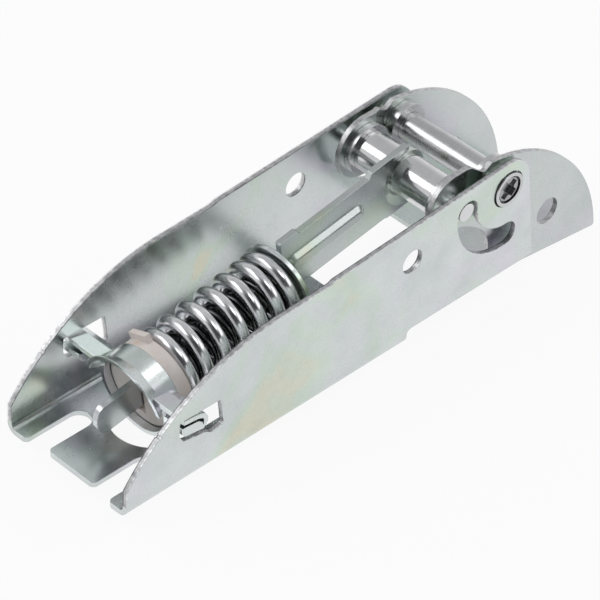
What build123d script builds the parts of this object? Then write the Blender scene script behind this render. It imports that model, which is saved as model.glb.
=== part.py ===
from build123d import *
import math
import os

# Overall layout, in millimetres: X along the channel, Y across it, Z up.
# Heights are measured from the underside of the channel's floor; the lid bracket's tip hangs below it.
sheet = 1.5
channel_width = 43.5
pivot_from_front = 133.0
lobe_reach = 42.5
pivot_z = 33.0
crank = 15.3
seat_from_front = 18.5
seat_z = 16.5
opening_angle = 90.0

# Clearances
wall_gap = 0.4
lid_gap = 1.95
pivot_gap = 0.4
running_gap = 0.05
seat_gap = 0.1
shoulder_gap = 0.9
rod_play = 3.3
rod_side_gap = 0.4

# Channel
bend_radius = 3.0
tip_height = 8.7
taper_length = 52.5
taper_height = 35.8
nick_from_front = 10.5
nick_size = 0.9
step_from_front = 67.8
step_run = 1.4
step_rise = 0.6
top_corner_radius = 8.2
end_from_pivot = 12.8
lower_edge_z = 4.9
floor_length = 98.0
step_radius = 1.5
screw_hole_diameter = 7.1
screw_hole_from_pivot = 35.3
screw_hole_z = 27.9
slot_width = 7.4
slot_overrun = 3.0
window_corners = (
    (-1.5, 4.6),
    (-1.5, 0.1),
    (0.0, -2.2),
    (7.5, -3.6),
    (9.6, -4.8),
    (13.7, -4.2),
    (12.4, 4.3),
)
window_radius = 0.8
tab_half_width = 8.3
tab_short = 1.3
tab_corner_radius = 1.6
front_corner_radius = 1.5
notch_width = 6.6
notch_depth = 18.0
floor_slot_width = 22.0
floor_slot_from_front = 17.5
floor_slot_end = 94.0

# Lid bracket, measured from the main pivot
lobe_top = 8.6
lobe_crest_x = -8.9
lobe_start_x = -3.4
lobe_end_z = -36.2
lobe_corner_radius = 0.8
lid_bend_radius = 0.8
neck_x = -6.2
neck_z = 6.5
neck_radius = 1.5
arm_top_end = -10.0
web_left = -1.6
web_rise = 5.3
web_fillet = 12.0
joggle_depth = 1.4
joggle_start = -6.7
joggle_end = -11.4
roller_end_radius = 9.3
lobe_hole_diameter = 8.0
lobe_hole_x = 21.5
lobe_hole_z = -20.6

# Main pivot
tube_diameter = 8.0
tube_bore = 5.1
bush_diameter = 10.0
collar_diameter = 12.8
collar_length = 2.8
bush_proud = 0.5
head_diameter = 7.0
head_height = 1.8
head_sunk = 0.4
shank_diameter = 5.0
shank_length = 9.0
recess_width = 2.2
recess_length = 6.0
recess_core = 4.0
recess_depth = 1.5

# Roller
roller_diameter = 9.0
roller_end_diameter = 5.2
sleeve_diameter = 11.4
ring_diameter = 14.6
ring_thickness = 1.9

# Push rod, measured along and across the line from seat pivot to roller pin
rod_thickness = 1.8
rod_near_y = -0.6
eye_radius = 6.8
head_top = 9.9
head_bottom = -9.3
head_start = -12.6
head_end = 0.8
foot_start = -8.5
dish_radius = 8.9
dish_floor_radius = 6.5
dish_depth = 1.2
body_top = 8.4
body_bottom = -8.8
shoulder_top = 9.4
shoulder_length = 6.0
narrow_height = 9.0
narrow_tail = 9.7
bead_width = 5.6
bead_height = 1.3
bead_round = 0.7
bead_start = -44.3
bead_stop = -16.5

# Spring pack, measured along the spring axis from the seat pivot
axis_drop = 4.45
ring_start = 3.0
ring_length = 5.4
yoke_radius = 12.0
yoke_wall = 1.3
visor_length = 3.2
visor_flare = 2.0
visor_low = 4.0
ear_strap = (
    (0.3, 4.0),
    (0.15, 2.7),
    (5.2, 2.1),
    (6.5, 1.5),
    (7.0, 0.9),
    (6.95, -1.0),
    (7.7, -1.2),
    (8.3, -0.2),
    (8.3, 1.1),
    (7.4, 2.6),
    (5.5, 3.4),
)
ear_block = (
    (-0.8, 2.1),
    (-0.6, 0.3),
    (0.6, -0.9),
    (6.8, -1.8),
    (7.3, -0.9),
    (6.6, -0.5),
    (6.2, 0.6),
    (4.9, 1.5),
)
ear_root = 10.2
block_root = 15.2
ear_short = 0.2
bush_start = 5.2
bush_radius = 10.4
flange_length = 3.9
flange_radius = 11.7
key_angle = 66.0
key_width = 7.0
key_height = 1.7
key_length = 1.7
washer_distance = 52.8
washer_thickness = 1.2
washer_radius = 11.9
outer_wire = 3.7
outer_radius = 11.6
outer_turns = 7.2
inner_wire = 2.0
inner_turns = 12.0
spring_nest_gap = 0.4

# Places worked out from the sizes above
overall_length = pivot_from_front + lobe_reach
front = -overall_length / 2
pivot_x = front + pivot_from_front
roller_x = pivot_x - crank
seat_x = front + seat_from_front
half_width = channel_width / 2
inner_half = half_width - sheet
cheek_outer = inner_half - lid_gap
cheek_inner = cheek_outer - sheet
roller_outer = cheek_outer - joggle_depth
roller_inner = roller_outer - sheet
seat_to_roller = math.hypot(roller_x - seat_x, pivot_z - seat_z)
rod_angle = math.degrees(math.atan2(pivot_z - seat_z, roller_x - seat_x))
flange_start = ring_start + ring_length + seat_gap
spring_start = flange_start + flange_length + seat_gap
spring_length = washer_distance - seat_gap - spring_start
shoulder = washer_distance + washer_thickness + shoulder_gap - seat_to_roller
tail = -seat_to_roller - narrow_tail
outer_mean = outer_radius - outer_wire / 2
inner_mean = outer_radius - outer_wire - spring_nest_gap - inner_wire / 2
rod_far_y = rod_near_y + rod_thickness
rod_mid_y = (rod_near_y + rod_far_y) / 2
rod_room = narrow_height + 2 * rod_play

seat_frame = Plane((seat_x, 0, seat_z), x_dir=(0, 1, 0), z_dir=Vector(1, 0, 0).rotate(Axis.Y, -rod_angle))
rod_side = Plane((roller_x, 0, pivot_z), x_dir=seat_frame.z_dir, z_dir=(0, -1, 0))
seat_side = Plane((seat_x, 0, seat_z), x_dir=seat_frame.z_dir, z_dir=(0, -1, 0))


def along_y(outline, low, high, plane=Plane.XZ):
    """A side-view outline given thickness from y = low to y = high."""
    return extrude(plane.offset(-high) * outline, high - low)


def round_bar(x, z, diameter, low, high):
    return along_y(Pos(x, z) * Circle(diameter / 2), low, high)


def right_through(outline):
    """A side-view outline as wide as the whole channel."""
    return along_y(outline, -half_width, half_width)


def drill(x, z, diameter):
    return right_through(Pos(x, z) * Circle(diameter / 2))


def tube(x, z, diameter, bore, low, high):
    return along_y(Pos(x, z) * (Circle(diameter / 2) - Circle(bore / 2)), low, high)


def on_axis(profile_height, outer, inner, start):
    """A ring square to the spring axis, from start along it."""
    ring = Cylinder(outer, profile_height, align=(Align.CENTER, Align.CENTER, Align.MIN))
    if inner > 0:
        ring -= Cylinder(inner, profile_height, align=(Align.CENTER, Align.CENTER, Align.MIN))
    return pack_frame.location * Pos(0, 0, start) * ring


def both_sides(solid):
    return solid, mirror(solid, about=Plane.XZ)


# The spring axis lies below the line from the seat pivot to the roller pin
pack_drop = seat_frame.y_dir * axis_drop
if pack_drop.Z > 0:
    pack_drop = -pack_drop
pack_frame = Plane(seat_frame.origin + pack_drop, x_dir=seat_frame.x_dir, z_dir=seat_frame.z_dir)


def make_channel():
    taper_x = front + taper_length
    step_x = front + step_from_front
    step_z = taper_height + step_rise
    end_x = pivot_x + end_from_pivot
    corner_x = pivot_x + top_corner_radius
    corner_top = pivot_z + top_corner_radius
    floor_end = front + floor_length
    # The tapered front edge is an arc that runs level at its upper end
    drop = taper_height - tip_height
    arc_radius = (taper_length**2 + drop**2) / (2 * drop)
    mid_x = front + taper_length / 2
    mid_z = taper_height - arc_radius + math.sqrt(arc_radius**2 - (taper_length / 2) ** 2)
    slant = top_corner_radius * math.sqrt(0.5)
    edge = [
        Line((front, 0), (front, tip_height)),
        ThreePointArc((front, tip_height), (mid_x, mid_z), (taper_x, taper_height)),
        Line((taper_x, taper_height), (step_x, step_z)),
        Line((step_x, step_z), (step_x + step_run, step_z + step_rise)),
        Line((step_x + step_run, step_z + step_rise), (pivot_x, corner_top)),
        ThreePointArc((pivot_x, corner_top), (pivot_x + slant, pivot_z + slant), (corner_x, pivot_z)),
        Line((corner_x, pivot_z), (end_x, lower_edge_z)),
        Line((end_x, lower_edge_z), (floor_end, lower_edge_z)),
        Line((floor_end, lower_edge_z), (floor_end, 0)),
        Line((floor_end, 0), (front, 0)),
    ]
    outline = make_face(edge)
    steps = [v for v in outline.vertices() if abs(v.X - floor_end) < 0.01]
    outline = fillet(steps, step_radius)
    blank = right_through(outline)
    outer = Pos(0, bend_radius + corner_top) * RectangleRounded(
        channel_width, 2 * (bend_radius + corner_top), bend_radius
    )
    inner_bend = bend_radius - sheet
    inner = Pos(0, sheet + inner_bend + corner_top) * RectangleRounded(
        channel_width - 2 * sheet, 2 * (inner_bend + corner_top), inner_bend
    )
    section = Plane((front - 1, 0, 0), x_dir=(0, 1, 0), z_dir=(1, 0, 0)) * (outer - inner)
    folded = extrude(section, overall_length) & blank

    window = Polygon(*[(seat_x + x, seat_z + z) for x, z in window_corners], align=None)
    window = fillet(window.vertices(), window_radius)
    folded -= right_through(window)
    folded -= drill(pivot_x - screw_hole_from_pivot, screw_hole_z, screw_hole_diameter)
    folded -= drill(pivot_x, pivot_z, bush_diameter + 2 * pivot_gap)
    slot_path = CenterArc((pivot_x, pivot_z), crank, 180, opening_angle + slot_overrun)
    folded -= right_through(SlotArc(slot_path, slot_width))
    nick_x = front + nick_from_front
    nick_z = taper_height - arc_radius + math.sqrt(arc_radius**2 - (taper_x - nick_x) ** 2)
    nick = Rot(0, 0, 45) * Rectangle(nick_size, nick_size)
    folded -= right_through(Pos(nick_x, nick_z) * nick)

    # The floor's front is cut away on both sides of a tab with rounded corners
    notch_length = notch_depth - notch_width / 2
    notch_y = tab_half_width + notch_width / 2
    mouth_half = tab_half_width + notch_width
    mouth = Pos(front + notch_length / 2, 0) * Rectangle(notch_length, 2 * mouth_half)
    for side in (-1, 1):
        mouth += Pos(front + notch_length, side * notch_y) * Circle(notch_width / 2)
    tab_length = notch_depth - tab_short
    tab = Pos(front + tab_short + tab_length / 2, 0) * Rectangle(tab_length, 2 * tab_half_width)
    tab = fillet(tab.vertices().sort_by(Axis.X)[:2], tab_corner_radius)
    folded -= extrude(mouth - tab, sheet)
    corners = [
        edge
        for edge in folded.edges().filter_by(Axis.Z)
        if math.dist((edge.center().X, abs(edge.center().Y)), (front, mouth_half)) < 0.01
    ]
    folded = fillet(corners, front_corner_radius)
    slot_length = floor_slot_end - floor_slot_from_front
    floor_slot = SlotOverall(slot_length, floor_slot_width)
    folded -= extrude(Pos(front + floor_slot_from_front + slot_length / 2, 0) * floor_slot, sheet)
    return folded


def make_lid_bracket():
    tip_x = pivot_x + lobe_reach
    tip_z = pivot_z + lobe_end_z
    # The lobe's edge is one arc that would run level at its crest and ends at the tip
    reach = lobe_reach - lobe_crest_x
    fall = lobe_top - lobe_end_z
    arc_radius = (reach**2 + fall**2) / (2 * fall)
    centre_x = pivot_x + lobe_crest_x
    centre_z = pivot_z + lobe_top - arc_radius
    arc_x = pivot_x + lobe_start_x
    arc_z = centre_z + math.sqrt(arc_radius**2 - (arc_x - centre_x) ** 2)
    mid_x = (arc_x + tip_x) / 2
    mid_z = centre_z + math.sqrt(arc_radius**2 - (mid_x - centre_x) ** 2)
    neck = (pivot_x + neck_x, pivot_z + neck_z)
    arm_top = pivot_z + roller_end_radius
    web_x = pivot_x + web_left
    web_z = tip_z + web_rise
    arm_z = pivot_z - roller_end_radius
    arm_x = web_x - web_fillet
    arm_low = arm_z - web_fillet
    elbow = web_fillet * math.sqrt(0.5)
    edge = [
        Line((roller_x, arm_top), (pivot_x + arm_top_end, arm_top)),
        Line((pivot_x + arm_top_end, arm_top), neck),
        Line(neck, (arc_x, arc_z)),
        ThreePointArc((arc_x, arc_z), (mid_x, mid_z), (tip_x, tip_z)),
        Line((tip_x, tip_z), (web_x, web_z)),
        Line((web_x, web_z), (web_x, arm_low)),
        ThreePointArc((web_x, arm_low), (arm_x + elbow, arm_low + elbow), (arm_x, arm_z)),
        Line((arm_x, arm_z), (roller_x, arm_z)),
        ThreePointArc((roller_x, arm_z), (roller_x - roller_end_radius, pivot_z), (roller_x, arm_top)),
    ]
    outline = make_face(edge)
    tips = [v for v in outline.vertices() if abs(v.X - tip_x) < 0.01]
    outline = fillet(tips, lobe_corner_radius)
    necks = [v for v in outline.vertices() if math.dist((v.X, v.Y), neck) < 0.01]
    outline = fillet(necks, neck_radius)
    left = roller_x - roller_end_radius - 1
    right = tip_x + 1
    bend_x = pivot_x + joggle_start
    flat_x = pivot_x + joggle_end
    plan = Polygon(
        (left, roller_inner),
        (flat_x, roller_inner),
        (bend_x, cheek_inner),
        (right, cheek_inner),
        (right, cheek_outer),
        (bend_x, cheek_outer),
        (flat_x, roller_outer),
        (left, roller_outer),
        align=None,
    )
    cheek = extrude(Pos(0, 0, -10) * plan, 2 * pivot_z)
    cheek &= right_through(outline)
    web = Polygon(
        (web_x, web_z),
        (tip_x, tip_z),
        (tip_x, tip_z + sheet),
        (web_x, web_z + sheet),
        align=None,
    )
    folded = along_y(web, -cheek_inner, cheek_inner) & right_through(outline)
    for one in both_sides(cheek):
        folded += one
    # The folds are rounded on the outside
    run = Vector(tip_x - web_x, 0, tip_z - web_z).normalized()
    corner = Pos(cheek_outer, 0) * Rectangle(2 * lid_bend_radius, 2 * lid_bend_radius)
    corner -= Pos(cheek_outer - lid_bend_radius, lid_bend_radius) * Circle(lid_bend_radius)
    fold_plane = Plane(Vector(web_x, 0, web_z) - run * overall_length / 4, x_dir=(0, 1, 0), z_dir=run)
    for one in both_sides(extrude(fold_plane * corner, overall_length / 2)):
        folded -= one
    folded -= drill(pivot_x, pivot_z, bush_diameter + 2 * running_gap)
    folded -= drill(roller_x, pivot_z, roller_end_diameter + 2 * running_gap)
    folded -= drill(pivot_x + lobe_hole_x, pivot_z + lobe_hole_z, lobe_hole_diameter)
    return folded


def make_pivot_parts():
    end = half_width + bush_proud
    seat = end - head_sunk - head_height - running_gap
    collar_in = cheek_inner - running_gap - collar_length
    bar = tube(pivot_x, pivot_z, tube_diameter, tube_bore, -seat, seat)
    bore = tube_diameter + 2 * running_gap
    bush = tube(pivot_x, pivot_z, collar_diameter, bore, collar_in, collar_in + collar_length)
    bush += tube(pivot_x, pivot_z, bush_diameter, bore, collar_in, end)
    head_low = seat + running_gap
    head_face = end - head_sunk
    screw = round_bar(pivot_x, pivot_z, head_diameter, head_low, head_face)
    screw += round_bar(pivot_x, pivot_z, shank_diameter, head_low - shank_length, head_low)
    cross = Rectangle(recess_length, recess_width) + Rectangle(recess_width, recess_length)
    cross += Circle(recess_core / 2)
    screw -= along_y(Pos(pivot_x, pivot_z) * Rot(0, 0, 45) * cross, head_face - recess_depth, head_face)
    far_bush, near_bush = both_sides(bush)
    far_screw, near_screw = both_sides(screw)
    return bar, near_bush, far_bush, far_screw + near_screw


def make_roller_parts():
    shoulder_y = roller_inner - running_gap
    pin = round_bar(roller_x, pivot_z, roller_diameter, -shoulder_y, shoulder_y)
    pin_end = half_width - wall_gap
    pin += round_bar(roller_x, pivot_z, roller_end_diameter, -pin_end, pin_end)
    bore = roller_diameter + 2 * running_gap
    ring_out = shoulder_y
    ring_in = ring_out - ring_thickness
    far_ring = tube(roller_x, pivot_z, ring_diameter, bore, ring_in, ring_out)
    near_ring = tube(roller_x, pivot_z, ring_diameter, bore, -ring_out, -ring_in)
    sleeve_end = ring_in - running_gap
    far_from = rod_far_y + dish_depth + running_gap
    near_from = rod_near_y + dish_depth - running_gap
    far_sleeve = tube(roller_x, pivot_z, sleeve_diameter, bore, far_from, sleeve_end)
    near_sleeve = tube(roller_x, pivot_z, sleeve_diameter, bore, -sleeve_end, near_from)
    return pin, near_sleeve, far_sleeve, near_ring, far_ring


def make_push_rod():
    body = Polygon(
        (shoulder, body_bottom),
        (foot_start - 1, body_bottom),
        (foot_start, head_bottom),
        (head_end, head_bottom),
        (head_end, head_top),
        (head_start, head_top),
        (head_start - 1, body_top),
        (shoulder + shoulder_length + 1, body_top),
        (shoulder + shoulder_length, shoulder_top),
        (shoulder, shoulder_top),
        align=None,
    )
    narrow_length = shoulder + 1 - tail
    narrow = Pos(tail + narrow_length / 2, -axis_drop) * Rectangle(narrow_length, narrow_height)
    ends = narrow.vertices().sort_by(Axis.X)[:2]
    narrow = fillet(ends, narrow_height * 0.4)
    outline = body + narrow + Circle(eye_radius)
    plate = along_y(outline, rod_near_y, rod_far_y, rod_side)
    # The eye is dished away from the near side, with the sheet's thickness kept
    dish = Solid.make_cone(dish_radius, dish_floor_radius, dish_depth)
    plate -= Plane((roller_x, rod_near_y, pivot_z), x_dir=(1, 0, 0), z_dir=(0, 1, 0)).location * dish
    bulge = Plane((roller_x, rod_far_y, pivot_z), x_dir=(1, 0, 0), z_dir=(0, 1, 0)).location * dish
    plate += bulge & along_y(outline, rod_far_y, rod_far_y + dish_depth, rod_side)
    bead_length = bead_stop - bead_start
    bead = Pos((bead_start + bead_stop) / 2, 0) * SlotOverall(bead_length, bead_width)
    ridge = extrude(rod_side.offset(-rod_near_y) * bead, bead_height, taper=45)
    plate += fillet(ridge.edges().group_by(Axis.Y)[0], bead_round)
    plate -= drill(roller_x, pivot_z, roller_diameter + 2 * running_gap)
    return plate


def make_seat_parts():
    bore = yoke_radius - yoke_wall
    yoke = on_axis(ring_length, yoke_radius, bore, ring_start)
    # The upper front edge flares into a visor
    visor = Solid.make_cone(yoke_radius + visor_flare, yoke_radius, visor_length)
    visor -= Solid.make_cone(bore + visor_flare, bore, visor_length)
    span = 2 * (yoke_radius + visor_flare)
    upper = Box(span, span, visor_length, align=(Align.CENTER, Align.MIN, Align.MIN))
    visor &= Pos(0, visor_low, 0) * upper
    yoke += pack_frame.location * Pos(0, 0, ring_start - visor_length) * visor
    strap = Polygon(*[(seat_x + x, seat_z + z) for x, z in ear_strap], align=None)
    block = Polygon(*[(seat_x + x, seat_z + z) for x, z in ear_block], align=None)
    ear = along_y(strap, ear_root, half_width - ear_short) + along_y(block, block_root, half_width)
    for one in both_sides(ear):
        yoke += one
    yoke -= on_axis(ring_length, bore, 0, ring_start)

    flange = on_axis(flange_length, flange_radius, 0, flange_start)
    flange += on_axis(flange_start - bush_start, bush_radius, 0, bush_start)
    key = Box(key_height + 1, key_width, key_length, align=(Align.MIN, Align.CENTER, Align.MAX))
    key_place = Rot(0, 0, key_angle) * Pos(flange_radius - 1, 0, flange_start + flange_length)
    flange += pack_frame.location * key_place * key
    slot = Box(rod_thickness + 2 * rod_side_gap, rod_room, 2 * spring_start)
    flange -= pack_frame.location * Pos(rod_mid_y, 0, spring_start) * slot
    washer = on_axis(washer_thickness, washer_radius, rod_room / 2, washer_distance)
    return yoke, flange, washer


def make_spring(wire, mean_radius, turns, left_hand):
    """A coil whose ends are ground flat where they bear."""
    pitch = spring_length / turns
    run_out = pitch / 2
    height = spring_length + 2 * run_out
    path = Helix(pitch, height, mean_radius, center=(0, 0, -run_out), lefthand=left_hand)
    start = Plane(path @ 0, z_dir=path % 0)
    coil = sweep(start * Circle(wire / 2), path=path, is_frenet=True)
    slab = Cylinder(mean_radius + wire, spring_length, align=(Align.CENTER, Align.CENTER, Align.MIN))
    return pack_frame.location * Pos(0, 0, spring_start) * (coil & slab)


pivot_tube, pivot_bush_near, pivot_bush_far, pivot_screws = make_pivot_parts()
roller_pin, sleeve_near, sleeve_far, ring_near, ring_far = make_roller_parts()
seat_yoke, guide_bush, spring_washer = make_seat_parts()

nodes = {
    "channel": make_channel(),
    "lid_bracket": make_lid_bracket(),
    "pivot_tube": pivot_tube,
    "pivot_bush_near": pivot_bush_near,
    "pivot_bush_far": pivot_bush_far,
    "pivot_screws": pivot_screws,
    "roller_pin": roller_pin,
    "roller_sleeve_near": sleeve_near,
    "roller_sleeve_far": sleeve_far,
    "roller_washer_near": ring_near,
    "roller_washer_far": ring_far,
    "push_rod": make_push_rod(),
    "spring_washer": spring_washer,
    "outer_spring": make_spring(outer_wire, outer_mean, outer_turns, False),
    "inner_spring": make_spring(inner_wire, inner_mean, inner_turns, True),
    "guide_bush": guide_bush,
    "seat_yoke": seat_yoke,
}

# The origin lies under the middle of the whole, level with its lowest point, the lid bracket's tip
boxes = [solid.bounding_box() for solid in nodes.values()]
middle = (min(box.min.X for box in boxes) + max(box.max.X for box in boxes)) / 2
lowest = min(box.min.Z for box in boxes)
os.makedirs("parts", exist_ok=True)
for name, solid in nodes.items():
    export_step(Pos(-middle, 0, -lowest) * solid, f"parts/{name}.step")
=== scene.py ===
import math

import bmesh
import bpy
from mathutils import Matrix, Vector


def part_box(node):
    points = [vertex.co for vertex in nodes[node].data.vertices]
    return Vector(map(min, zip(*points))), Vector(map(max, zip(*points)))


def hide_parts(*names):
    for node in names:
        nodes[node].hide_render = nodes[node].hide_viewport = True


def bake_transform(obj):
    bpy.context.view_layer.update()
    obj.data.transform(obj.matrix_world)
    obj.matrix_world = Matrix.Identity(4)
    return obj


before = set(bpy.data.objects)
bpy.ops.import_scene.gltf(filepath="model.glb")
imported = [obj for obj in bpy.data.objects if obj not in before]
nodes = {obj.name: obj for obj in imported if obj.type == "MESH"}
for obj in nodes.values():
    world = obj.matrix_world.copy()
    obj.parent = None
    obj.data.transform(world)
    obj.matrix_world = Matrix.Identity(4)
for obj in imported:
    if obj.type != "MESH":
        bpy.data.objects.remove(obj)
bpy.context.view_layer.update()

scene = bpy.context.scene
scene.view_settings.view_transform = "Standard"

# Places in metres, from the channel's front end and the underside of its floor
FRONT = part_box("channel")[0][0]
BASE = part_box("channel")[0][2]
SEAT_FROM_FRONT = 0.0185
SEAT_HEIGHT = 0.0165
ROLLER_RUN = 0.0992
ROLLER_RISE = 0.0165
SEAT = Vector((FRONT + SEAT_FROM_FRONT, 0.0, BASE + SEAT_HEIGHT))
ROD_ANGLE = math.atan2(ROLLER_RISE, ROLLER_RUN)
ALONG = Vector((math.cos(ROD_ANGLE), 0.0, math.sin(ROD_ANGLE)))
ACROSS = Vector((-math.sin(ROD_ANGLE), 0.0, math.cos(ROD_ANGLE)))
AXIS_DROP = 0.00445
WALL_SIDES = (0.02025, 0.02175)
CHEEK_SIDES = (0.0153, 0.0183)
FOLD_TOP = BASE + 0.0035


def pack_point(along, side, up):
    """A point given along the spring axis from the seat pivot, across it and above it."""
    return SEAT + ALONG * along + Vector((0.0, side, 0.0)) + ACROSS * (up - AXIS_DROP)


# Materials


class Paint:
    """A material with a few helpers for its node tree."""

    def __init__(self, name):
        self.material = bpy.data.materials.new(name)
        self.material.use_nodes = True
        self.tree = self.material.node_tree
        self.shader = self.tree.nodes["Principled BSDF"]
        self.coords = self.node("ShaderNodeTexCoord").outputs["Object"]

    def node(self, kind, **values):
        made = self.tree.nodes.new(kind)
        for key, value in values.items():
            setattr(made, key, value)
        return made

    def link(self, source, target):
        self.tree.links.new(source, target)

    def set(self, socket, value):
        self.shader.inputs[socket].default_value = value

    def stretch(self, scale):
        mapping = self.node("ShaderNodeMapping")
        mapping.inputs["Scale"].default_value = scale
        self.link(self.coords, mapping.inputs["Vector"])
        return mapping.outputs["Vector"]

    def noise(self, scale, detail=3.0, rough=0.55, coords=None, distortion=0.0):
        made = self.node("ShaderNodeTexNoise")
        made.inputs["Scale"].default_value = scale
        made.inputs["Detail"].default_value = detail
        made.inputs["Roughness"].default_value = rough
        made.inputs["Distortion"].default_value = distortion
        self.link(coords or self.coords, made.inputs["Vector"])
        return made.outputs["Fac"]

    def ramp(self, factor, stops):
        made = self.node("ShaderNodeValToRGB")
        band = made.color_ramp
        while len(band.elements) < len(stops):
            band.elements.new(0.5)
        for element, (place, colour) in zip(band.elements, stops):
            element.position = place
            element.color = (*colour, 1.0)
        self.link(factor, made.inputs["Fac"])
        return made.outputs["Color"]

    def between(self, factor, low, high, start=0.3, stop=0.7):
        made = self.node("ShaderNodeMapRange")
        made.inputs["From Min"].default_value = start
        made.inputs["From Max"].default_value = stop
        made.inputs["To Min"].default_value = low
        made.inputs["To Max"].default_value = high
        self.link(factor, made.inputs["Value"])
        return made.outputs["Result"]

    def mix(self, factor, first, second, blend="MIX"):
        made = self.node("ShaderNodeMix", data_type="RGBA", blend_type=blend)
        if isinstance(factor, float):
            made.inputs["Factor"].default_value = factor
        else:
            self.link(factor, made.inputs["Factor"])
        for socket, value in (("A", first), ("B", second)):
            target = [s for s in made.inputs if s.name == socket and s.type == "RGBA"][0]
            if isinstance(value, tuple):
                target.default_value = (*value, 1.0)
            else:
                self.link(value, target)
        return [s for s in made.outputs if s.type == "RGBA"][0]

    def math(self, kind, first, second=None):
        made = self.node("ShaderNodeMath", operation=kind)
        for slot, value in enumerate((first, second)):
            if value is None:
                continue
            if isinstance(value, (int, float)):
                made.inputs[slot].default_value = value
            else:
                self.link(value, made.inputs[slot])
        return made.outputs["Value"]

    def bump(self, height, strength, distance, bevel=0.0003):
        made = self.node("ShaderNodeBump")
        made.inputs["Strength"].default_value = strength
        made.inputs["Distance"].default_value = distance
        self.link(height, made.inputs["Height"])
        if bevel:
            soft = self.node("ShaderNodeBevel", samples=4)
            soft.inputs["Radius"].default_value = bevel
            self.link(soft.outputs["Normal"], made.inputs["Normal"])
        self.link(made.outputs["Normal"], self.shader.inputs["Normal"])

    def parts(self, source):
        made = self.node("ShaderNodeSeparateXYZ")
        self.link(source, made.inputs["Vector"])
        return made.outputs


def plated_sheet(name, painted_light_tone=1.0, wall=None, painted_edge_lines=False):
    """Zinc-plated sheet with faint tints.

    wall gives the inner and outer side of a wall, whose cut edges are then duller and rougher.
    The last argument paints a dark inner line of shade and a bright outer line of highlight along those
    edges.
    """
    p = Paint(name)
    broad = p.noise(34.0, 2.0, 0.5, distortion=0.9)
    cloud = p.noise(65.0, 4.0, 0.62)
    grain = p.noise(2200.0, 2.0, 0.7)
    # The tone argument makes lighter and darker copies of one plating for the different parts: painted
    # light and painted shade.
    tint = p.ramp(broad, [
        (0.28, tuple(painted_light_tone * c for c in (0.700, 0.690, 0.570))),
        (0.37, tuple(painted_light_tone * c for c in (0.620, 0.705, 0.630))),
        (0.46, tuple(painted_light_tone * c for c in (0.660, 0.700, 0.690))),
        (0.57, tuple(painted_light_tone * c for c in (0.655, 0.690, 0.692))),
        (0.68, tuple(painted_light_tone * c for c in (0.680, 0.672, 0.720))),
    ])
    shade = p.ramp(cloud, [(0.28, (0.88, 0.89, 0.89)), (0.70, (1.06, 1.06, 1.06))])
    speck = p.ramp(grain, [(0.25, (0.84, 0.84, 0.85)), (0.45, (1.0, 1.0, 1.0))])
    face = p.mix(1.0, p.mix(1.0, tint, shade, "MULTIPLY"), speck, "MULTIPLY")
    rough = p.between(cloud, 0.19, 0.32)
    if wall:
        inner, outer = wall
        normal = p.parts(p.tree.nodes["Texture Coordinate"].outputs["Normal"])
        place = p.parts(p.coords)
        side = p.math("ABSOLUTE", place["Y"])
        edge = p.math("LESS_THAN", p.math("ABSOLUTE", normal["Y"]), 0.6)
        edge = p.math("MULTIPLY", edge, p.math("GREATER_THAN", side, inner - 0.0001))
        edge = p.math("MULTIPLY", edge, p.math("GREATER_THAN", place["Z"], FOLD_TOP))
        streak = p.noise(700.0, 4.0, 0.75)
        torn = p.ramp(streak, [(0.36, (0.40, 0.40, 0.41)), (0.64, (0.70, 0.70, 0.71))])
        # Painted shade and painted highlight: a dark line on the inner side of each cut edge and a bright
        # line, brighter than white, on its outer side.
        if painted_edge_lines:
            depth = p.between(side, 0.0, 1.0, inner, outer)
            depth = p.math("ADD", depth, p.between(streak, -0.08, 0.08))
            band = p.ramp(depth, [
                (0.10, (0.35, 0.35, 0.36)), (0.26, (0.95, 0.95, 0.95)),
                (0.66, (0.90, 0.90, 0.90)), (0.86, (1.4, 1.4, 1.4)),
            ])
            torn = p.mix(1.0, torn, band, "MULTIPLY")
        face = p.mix(edge, face, torn)
        rough = p.math("ADD", rough, p.math("MULTIPLY", edge, 0.18))
    p.link(face, p.shader.inputs["Base Color"])
    p.set("Metallic", 1.0)
    p.link(rough, p.shader.inputs["Roughness"])
    p.bump(grain, 0.05, 0.0002)
    return p.material


def turned_steel(name, colour, low, high, grain=0.05):
    """Polished or turned metal with fine rings."""
    p = Paint(name)
    cloud = p.noise(160.0, 3.0, 0.6)
    rings = p.noise(60.0, 4.0, 0.7, coords=p.stretch((1.0, 40.0, 1.0)))
    dark = tuple(0.86 * c for c in colour)
    p.link(p.ramp(cloud, [(0.3, dark), (0.7, colour)]), p.shader.inputs["Base Color"])
    p.set("Metallic", 1.0)
    p.link(p.between(rings, low, high), p.shader.inputs["Roughness"])
    p.bump(rings, grain, 0.0001, 0.0002)
    return p.material


def spring_wire(name, dark, light):
    """Drawn wire with a smooth skin and faint fine marks."""
    p = Paint(name)
    cloud = p.noise(240.0, 3.0, 0.6)
    grey = p.ramp(cloud, [(0.3, (dark, dark, 1.03 * dark)), (0.7, (light, light, 1.03 * light))])
    p.link(grey, p.shader.inputs["Base Color"])
    p.set("Metallic", 1.0)
    p.link(p.between(cloud, 0.15, 0.25), p.shader.inputs["Roughness"])
    p.bump(p.noise(900.0, 3.0, 0.6), 0.05, 0.0001, 0.0)
    return p.material


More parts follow.
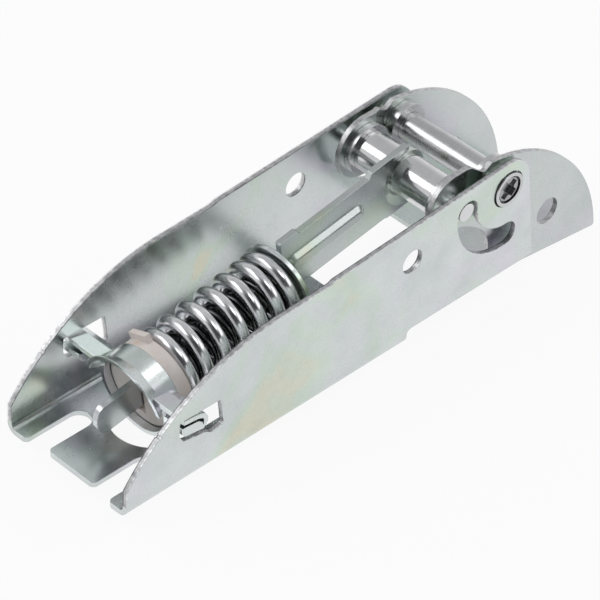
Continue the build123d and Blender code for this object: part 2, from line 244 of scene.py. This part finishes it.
def natural_plastic(name):
    """Unpigmented plastic, pinkish ivory with a few amber patches."""
    p = Paint(name)
    cloud = p.noise(150.0, 3.0, 0.6)
    colour = p.ramp(cloud, [
        (0.26, (0.78, 0.60, 0.42)), (0.36, (0.80, 0.72, 0.68)), (0.68, (0.88, 0.83, 0.80)),
    ])
    p.link(colour, p.shader.inputs["Base Color"])
    p.link(p.between(cloud, 0.36, 0.48), p.shader.inputs["Roughness"])
    p.set("Subsurface Weight", 0.2)
    p.set("Subsurface Radius", (0.002, 0.0012, 0.001))
    p.bump(p.noise(700.0, 2.0, 0.5), 0.05, 0.0002, 0.0003)
    return p.material


def dress(node, material):
    mesh = nodes[node].data
    mesh.materials.clear()
    mesh.materials.append(material)


# Painted light and shade by tone: the lid and rod are darker, and the yoke and washer lighter, copies of
# the same plating.
wall_zinc = plated_sheet("wall_zinc", 1.02, WALL_SIDES, True)
lid_zinc = plated_sheet("lid_zinc", 0.90, CHEEK_SIDES)
rod_zinc = plated_sheet("rod_zinc", 0.86)
yoke_zinc = plated_sheet("yoke_zinc", 1.12)
polished = turned_steel("polished_steel", (0.76, 0.76, 0.77), 0.10, 0.18)
# The pivot tube's steel is rougher as drawn tube, and darker as painted shade.
tube_steel_with_painted_shade = turned_steel("drawn_steel_with_painted_shade", (0.60, 0.60, 0.61), 0.20, 0.30)
bright = turned_steel("bright_steel", (0.66, 0.66, 0.67), 0.18, 0.30)
# Painted shade: the screws' steel is darker so that the cross recesses in their heads look deep in shade.
recess_shaded_screw_steel = turned_steel("recess_shaded_screw_steel", (0.42, 0.42, 0.43), 0.16, 0.28)
wire = spring_wire("spring_wire", 0.66, 0.82)
# Painted shade: the inner spring's wire is near black, standing in for the shade inside the outer spring.
inner_wire_painted_shade = spring_wire("inner_wire_painted_shade", 0.09, 0.15)
plastic = natural_plastic("natural_plastic")

dress("channel", wall_zinc)
dress("lid_bracket", lid_zinc)
dress("push_rod", rod_zinc)
dress("seat_yoke", yoke_zinc)
dress("spring_washer", yoke_zinc)
dress("pivot_tube", tube_steel_with_painted_shade)
for name in ("roller_pin", "roller_sleeve_near", "roller_sleeve_far"):
    dress(name, polished)
dress("pivot_screws", recess_shaded_screw_steel)
for name in ("pivot_bush_near", "pivot_bush_far", "roller_washer_near", "roller_washer_far"):
    dress(name, bright)
dress("guide_bush", plastic)


# Springs, as coils with closed ends

STEPS_PER_TURN = 48
WIRE_SIDES = 20


def coil(name, wire_size, mean, rises, hand, start_angle, material):
    """A round wire wound about the spring axis; rises gives its turns and how far along each lies."""
    first_turn, last_turn = rises[0][0], rises[-1][0]
    turns = last_turn - first_turn
    steps = int(turns * STEPS_PER_TURN)

    def height(turn):
        turn = min(max(turn, first_turn), last_turn)
        for (t0, h0), (t1, h1) in zip(rises, rises[1:]):
            if turn <= t1:
                return h0 + (h1 - h0) * (turn - t0) / (t1 - t0)
        return rises[-1][1]

    def centre(turn):
        angle = start_angle + hand * 2 * math.pi * turn
        blend = sum(height(turn + d) for d in (-0.12, -0.06, 0.0, 0.06, 0.12)) / 5
        return pack_point(blend, mean * math.cos(angle), mean * math.sin(angle))

    mesh = bmesh.new()
    rows = []
    for step in range(steps + 1):
        turn = first_turn + turns * step / steps
        here = centre(turn)
        ahead = (centre(min(turn + 0.004, last_turn)) - centre(max(turn - 0.004, first_turn))).normalized()
        out = here - pack_point((here - SEAT).dot(ALONG), 0.0, 0.0)
        out = (out - ahead * out.dot(ahead)).normalized()
        side = ahead.cross(out)
        row = []
        for k in range(WIRE_SIDES):
            a = 2 * math.pi * k / WIRE_SIDES
            row.append(mesh.verts.new(here + (out * math.cos(a) + side * math.sin(a)) * wire_size / 2))
        rows.append(row)
    for first, second in zip(rows, rows[1:]):
        for k in range(WIRE_SIDES):
            after = (k + 1) % WIRE_SIDES
            mesh.faces.new((first[k], first[after], second[after], second[k]))
    mesh.faces.new(list(reversed(rows[0])))
    mesh.faces.new(rows[-1])
    bmesh.ops.recalc_face_normals(mesh, faces=mesh.faces[:])
    data = bpy.data.meshes.new(name)
    mesh.to_mesh(data)
    mesh.free()
    for face in data.polygons:
        face.use_smooth = len(face.vertices) == 4
    made = bpy.data.objects.new(name, data)
    scene.collection.objects.link(made)
    data.materials.append(material)
    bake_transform(made)
    return made


OUTER_RISES = [
    (-0.3, 0.01450), (0.0, 0.01455), (1.0, 0.0203), (2.0, 0.0268), (3.0, 0.0333),
    (4.0, 0.0396), (5.0, 0.0454), (6.0, 0.0504), (6.3, 0.0507),
]
INNER_RISES = [(0.0, 0.0137), (1.0, 0.0158), (11.0, 0.0494), (12.0, 0.0515)]
outer = coil("outer_coil", 0.0037, 0.00975, OUTER_RISES, -1, math.radians(126), wire)
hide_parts("outer_spring")
inner = coil("inner_coil", 0.0020, 0.0065, INNER_RISES, 1, math.radians(200), inner_wire_painted_shade)
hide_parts("inner_spring")


# Floor, light and camera

FLOOR_HALF = 3.0
FLOOR_DROP = 0.0002
FLOOR_GLOW = 0.91
MIRRORED_GLOW = 0.9
AIM = (0, 0, 0.02)


def background_material():
    """Pale floor that looks white and still takes some of the shadow."""
    p = Paint("pale_floor")
    p.set("Base Color", (0.93, 0.93, 0.93, 1.0))
    p.set("Roughness", 0.9)
    glow = p.node("ShaderNodeEmission")
    path = p.node("ShaderNodeLightPath").outputs
    mirrored = p.math("MAXIMUM", path["Is Glossy Ray"], path["Is Transmission Ray"])
    seen = p.math("MAXIMUM", path["Is Camera Ray"], p.math("MULTIPLY", mirrored, MIRRORED_GLOW))
    blend = p.node("ShaderNodeMixShader")
    p.link(p.math("MULTIPLY", seen, FLOOR_GLOW), blend.inputs["Fac"])
    p.link(p.shader.outputs["BSDF"], blend.inputs[1])
    p.link(glow.outputs["Emission"], blend.inputs[2])
    p.link(blend.outputs["Shader"], p.tree.nodes["Material Output"].inputs["Surface"])
    return p.material


def make_floor():
    data = bpy.data.meshes.new("floor")
    signs = ((-1, -1), (1, -1), (1, 1), (-1, 1))
    corners = [(x * FLOOR_HALF, y * FLOOR_HALF, 0) for x, y in signs]
    data.from_pydata(corners, [], [(0, 1, 2, 3)])
    data.materials.append(background_material())
    floor = bpy.data.objects.new("floor", data)
    floor.location.z = -FLOOR_DROP
    scene.collection.objects.link(floor)


def make_world():
    """A white tent, bright at the horizon, with a dark opening at the upper front."""
    world = bpy.data.worlds.new("studio")
    world.use_nodes = True
    scene.world = world
    tree = world.node_tree
    shade = tree.nodes["Background"]
    coords = tree.nodes.new("ShaderNodeTexCoord")
    split = tree.nodes.new("ShaderNodeSeparateXYZ")
    tree.links.new(coords.outputs["Generated"], split.inputs["Vector"])
    tent = tree.nodes.new("ShaderNodeValToRGB")
    tent.color_ramp.elements[0].position = 0.05
    tent.color_ramp.elements[0].color = (0.95, 0.95, 0.95, 1)
    tent.color_ramp.elements[1].position = 0.60
    tent.color_ramp.elements[1].color = (0.56, 0.565, 0.57, 1)
    tree.links.new(split.outputs["Z"], tent.inputs["Fac"])
    facing = tree.nodes.new("ShaderNodeVectorMath")
    facing.operation = "DOT_PRODUCT"
    facing.inputs[1].default_value = (-0.565, -0.520, 0.640)
    tree.links.new(coords.outputs["Generated"], facing.inputs[0])
    opening = tree.nodes.new("ShaderNodeValToRGB")
    opening.color_ramp.elements[0].position = 0.55
    opening.color_ramp.elements[0].color = (1, 1, 1, 1)
    opening.color_ramp.elements[1].position = 0.90
    opening.color_ramp.elements[1].color = (0.12, 0.12, 0.125, 1)
    tree.links.new(facing.outputs["Value"], opening.inputs["Fac"])
    mix = tree.nodes.new("ShaderNodeMix")
    mix.data_type = "RGBA"
    mix.blend_type = "MULTIPLY"
    mix.inputs["Factor"].default_value = 1.0
    colours = [socket for socket in mix.inputs if socket.type == "RGBA"]
    tree.links.new(tent.outputs["Color"], colours[0])
    tree.links.new(opening.outputs["Color"], colours[1])
    tree.links.new([socket for socket in mix.outputs if socket.type == "RGBA"][0], shade.inputs["Color"])


def softbox(name, place, size, power):
    data = bpy.data.lights.new(name, "AREA")
    data.shape = "RECTANGLE"
    data.size, data.size_y = size
    data.energy = power
    light = bpy.data.objects.new(name, data)
    light.location = place
    light.rotation_euler = (Vector(AIM) - Vector(place)).to_track_quat("-Z", "Y").to_euler()
    scene.collection.objects.link(light)


def make_camera():
    """The photograph's own view, fitted to it."""
    data = bpy.data.cameras.new("camera")
    data.sensor_width = 36.0
    data.lens = 218.73
    data.clip_start = 0.05
    data.clip_end = 20.0
    right = Vector((0.707311, -0.705072, 0.05085))
    up = Vector((0.425112, 0.481728, 0.766302))
    back = Vector((-0.564794, -0.520396, 0.640466))
    turn = Matrix((right, up, back)).transposed().to_4x4()
    camera = bpy.data.objects.new("camera", data)
    place = Vector((FRONT, 0.0, BASE)) + Vector((-0.44697, -0.485867, 0.60922))
    camera.matrix_world = Matrix.Translation(place) @ turn
    scene.collection.objects.link(camera)
    scene.camera = camera


make_floor()
make_world()
softbox("key", (-0.62, 0.60, 0.80), (0.8, 0.5), 2.6)
softbox("top", (0.10, -0.35, 1.10), (0.5, 0.4), 1.4)
softbox("side", (0.72, -0.66, 0.80), (1.0, 0.6), 1.9)
make_camera()
